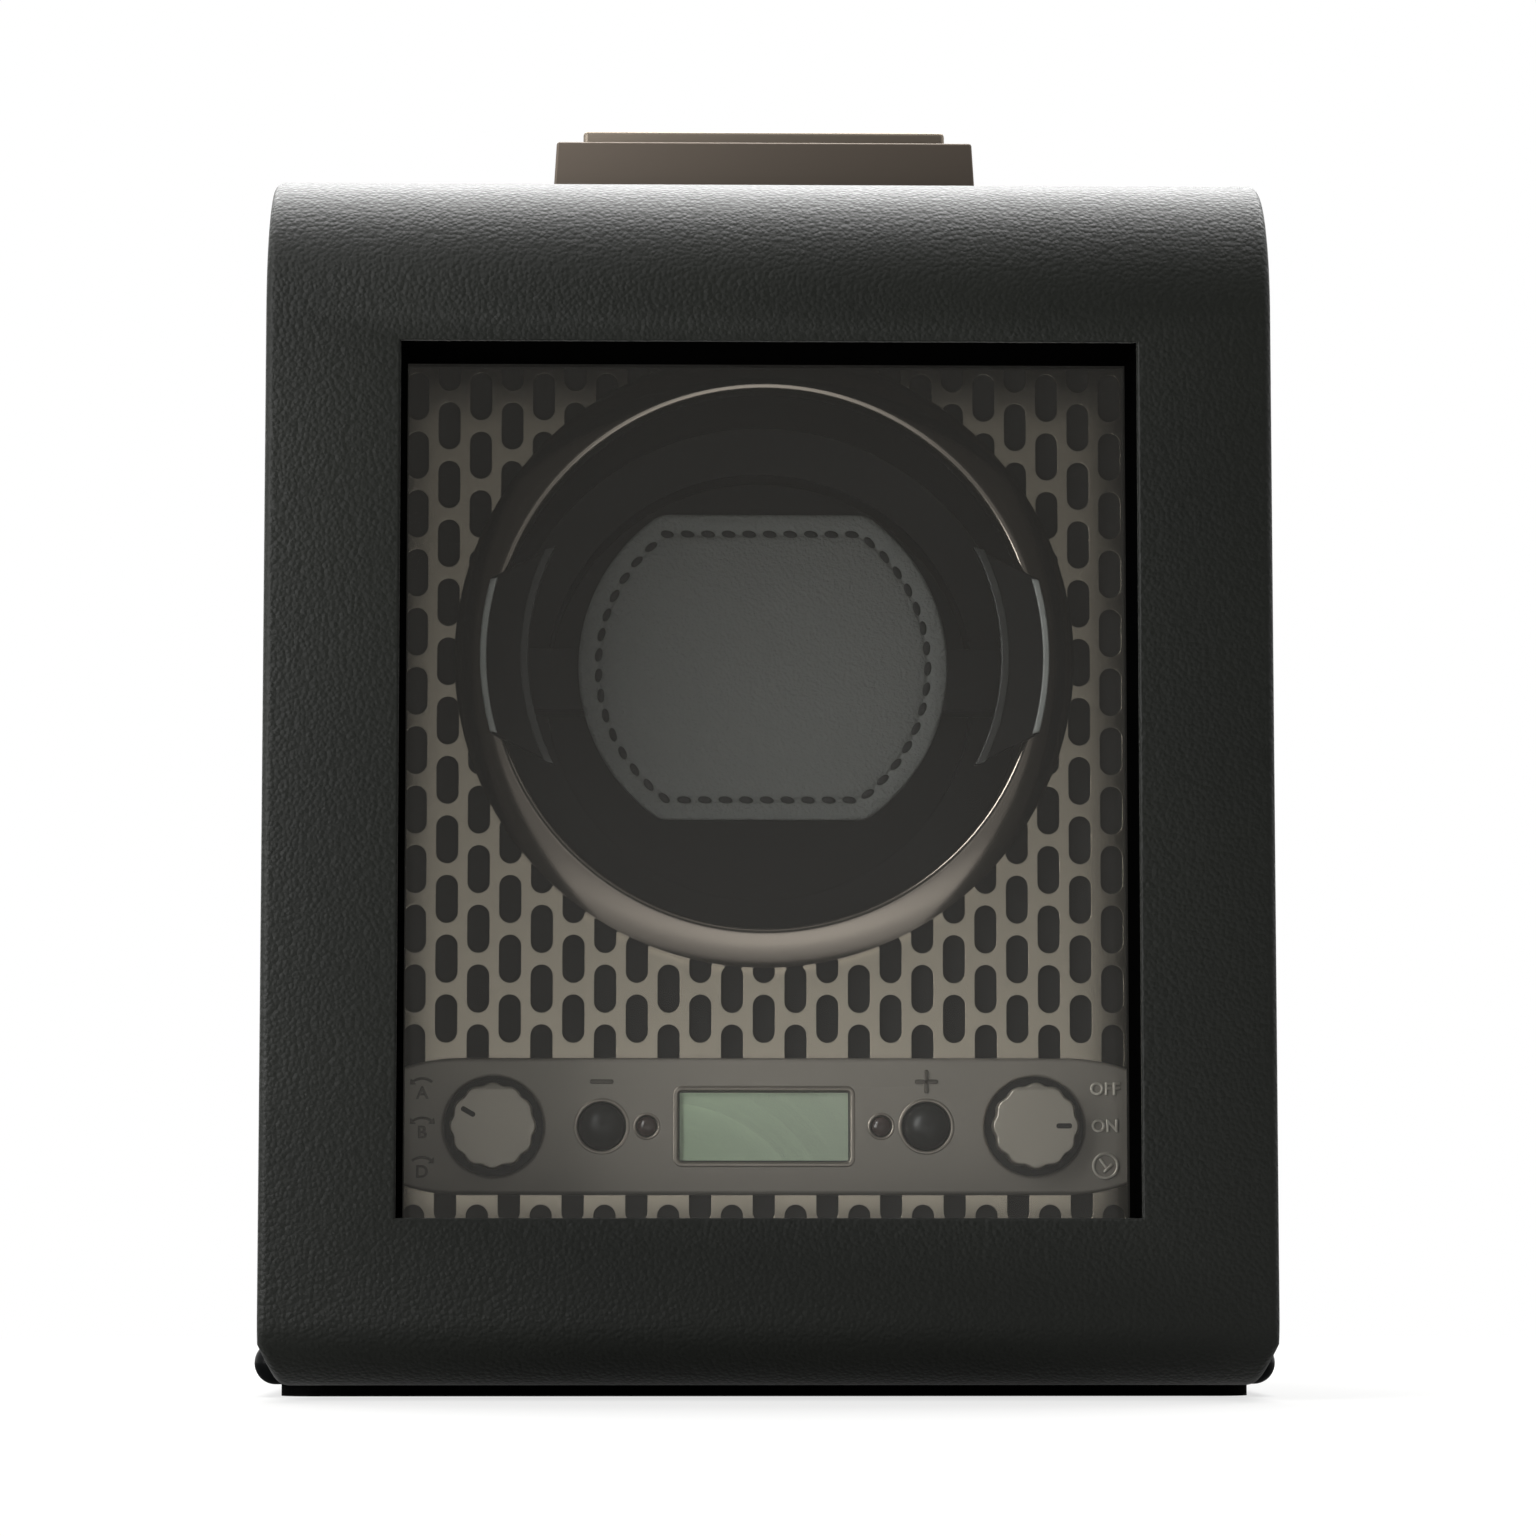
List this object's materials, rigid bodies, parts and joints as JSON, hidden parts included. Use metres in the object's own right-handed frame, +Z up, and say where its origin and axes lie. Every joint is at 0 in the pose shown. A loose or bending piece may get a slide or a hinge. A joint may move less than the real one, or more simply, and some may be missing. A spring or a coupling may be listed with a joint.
{
  "type": "watch winder box",
  "caption": "Desktop winder box for one wristwatch: leather case, lift-up glazed door, slotted fascia, turning drum with a cuff, controls and a folding handle.",
  "frame": {"origin": "middle of the bounding box in X and Y, on the surface that the box stands on", "axes": "+X to the right seen from the front, +Y to the rear, +Z up; the drum turns about Y"},
  "size_m": [0.186, 0.19, 0.238],
  "materials": {
    "felt": "dense black felt",
    "black_plastic": "moulded black plastic, satin",
    "board": "raw fibreboard",
    "batten_wood": "planed softwood",
    "black_panel": "fibreboard with black grained foil",
    "leather": "fine pebbled black leather, semi-matt",
    "velvet": "short black pile",
    "gunmetal": "warm gunmetal coating, satin",
    "steel": "bright steel",
    "steel_sheet": "zinc-plated steel",
    "screw_steel": "blackened steel",
    "black_lacquer": "black lacquer",
    "clear_glass": "clear float glass",
    "clear_plastic": "clear acrylic",
    "lcd_green": "pale green display",
    "smoked_plastic": "smoked lens",
    "board_green": "solder mask",
    "fascia_metal": "bead-blasted, anodised gunmetal",
    "panel_paint": "moulded plastic with a metallic gunmetal paint",
    "knob_paint": "moulded plastic with a metallic paint",
    "button_plastic": "polished black plastic",
    "bezel_metal": "satin gunmetal plating",
    "gear_plastic": "natural acetal",
    "bronze": "sintered bronze",
    "cuff_fabric": "soft cover over foam",
    "patch_leather": "grained leather with a stitched edge",
    "cell_steel": "plain sleeved cell"
  },
  "bodies": {
    "case": {"base_pad": "felt", "base_plinth": "black_plastic", "left_side": "board", "right_side": "board", "top_board": "board", "floor_board": "board", "back_panel": "black_panel", "battens": "batten_wood", "wood_screws": "screw_steel", "case_wrap": "leather", "chamber_lining": "velvet", "handle_tray": "gunmetal", "handle_pins": "steel", "case_magnets": "steel", "hinge_brackets": "steel", "fascia_plate": "fascia_metal", "fascia_backing": "felt", "control_panel": "panel_paint", "lcd_window": "clear_plastic", "lcd_screen": "lcd_green", "lcd_module": "black_plastic", "indicator_lights": "smoked_plastic", "circuit_board": "board_green", "board_screws": "screw_steel", "rotary_switches": "black_plastic", "push_switches": "black_plastic", "drum_bushes": "bronze", "gear_plates": "steel_sheet", "plate_posts": "steel_sheet", "plate_screws": "screw_steel", "gear_motor": "steel_sheet", "battery_holder": "black_plastic", "battery_cells": "cell_steel", "battery_contacts": "steel", "power_inlet": "black_plastic"},
    "door": {"door_core": "board", "door_leather": "leather", "window_reveal": "black_lacquer", "door_glass": "clear_glass", "glass_retainer": "black_plastic", "retainer_screws": "screw_steel", "door_magnets": "steel", "hinge_pins": "steel"},
    "handle": {"handle_bail": "gunmetal"},
    "drum": {"drum_bezel": "bezel_metal", "drum_cup": "black_plastic", "drum_shaft": "steel", "drum_gear": "gear_plastic", "shaft_clip": "steel"},
    "cuff": {"cuff_core": "black_plastic", "cuff_wings": "black_plastic", "cuff_pad": "cuff_fabric", "cuff_patch": "patch_leather"},
    "pinion": {"motor_pinion": "bronze"},
    "left_knob": {"left_knob": "knob_paint"},
    "right_knob": {"right_knob": "knob_paint"},
    "minus_button": {"minus_button": "button_plastic"},
    "plus_button": {"plus_button": "button_plastic"},
    "battery_cover": {"battery_cover": "black_plastic"}
  },
  "joints": [
    {"name": "door_hinge", "type": "hinge", "parent": "case", "child": "door", "pos_m": [0, -0.064, 0.2188], "axis": [-1, 0, 0], "range_deg": [0, 95]},
    {"name": "handle_fold", "type": "hinge", "parent": "case", "child": "handle", "pos_m": [0, -0.0105, 0.23475], "axis": [-1, 0, 0], "range_deg": [0, 90]},
    {"name": "drum_spin", "type": "hinge", "parent": "case", "child": "drum", "pos_m": [0, -0.035, 0.1366], "axis": [0, 1, 0], "continuous": true},
    {"name": "cuff_release", "type": "slide", "parent": "drum", "child": "cuff", "axis": [0, -1, 0], "range_m": [0, 0.009]},
    {"name": "pinion_spin", "type": "hinge", "parent": "case", "child": "pinion", "pos_m": [0, 0.03, 0.09855], "axis": [0, 1, 0], "continuous": true},
    {"name": "left_knob_turn", "type": "hinge", "parent": "case", "child": "left_knob", "pos_m": [-0.0503, -0.046, 0.0494], "axis": [0, -1, 0], "range_deg": [0, 60]},
    {"name": "right_knob_turn", "type": "hinge", "parent": "case", "child": "right_knob", "pos_m": [0.0503, -0.046, 0.0494], "axis": [0, -1, 0], "range_deg": [-35, 35]},
    {"name": "minus_press", "type": "slide", "parent": "case", "child": "minus_button", "axis": [0, 1, 0], "range_m": [0, 0.001], "stiffness_N_per_m": 300},
    {"name": "plus_press", "type": "slide", "parent": "case", "child": "plus_button", "axis": [0, 1, 0], "range_m": [0, 0.001], "stiffness_N_per_m": 300},
    {"name": "battery_cover_hinge", "type": "hinge", "parent": "case", "child": "battery_cover", "pos_m": [0, 0.0893, 0.0298], "axis": [-1, 0, 0], "range_deg": [0, 90]}
  ],
  "couplings": [
    {"joint": "pinion_spin", "follows": "drum_spin", "ratio": -3.75}
  ]
}
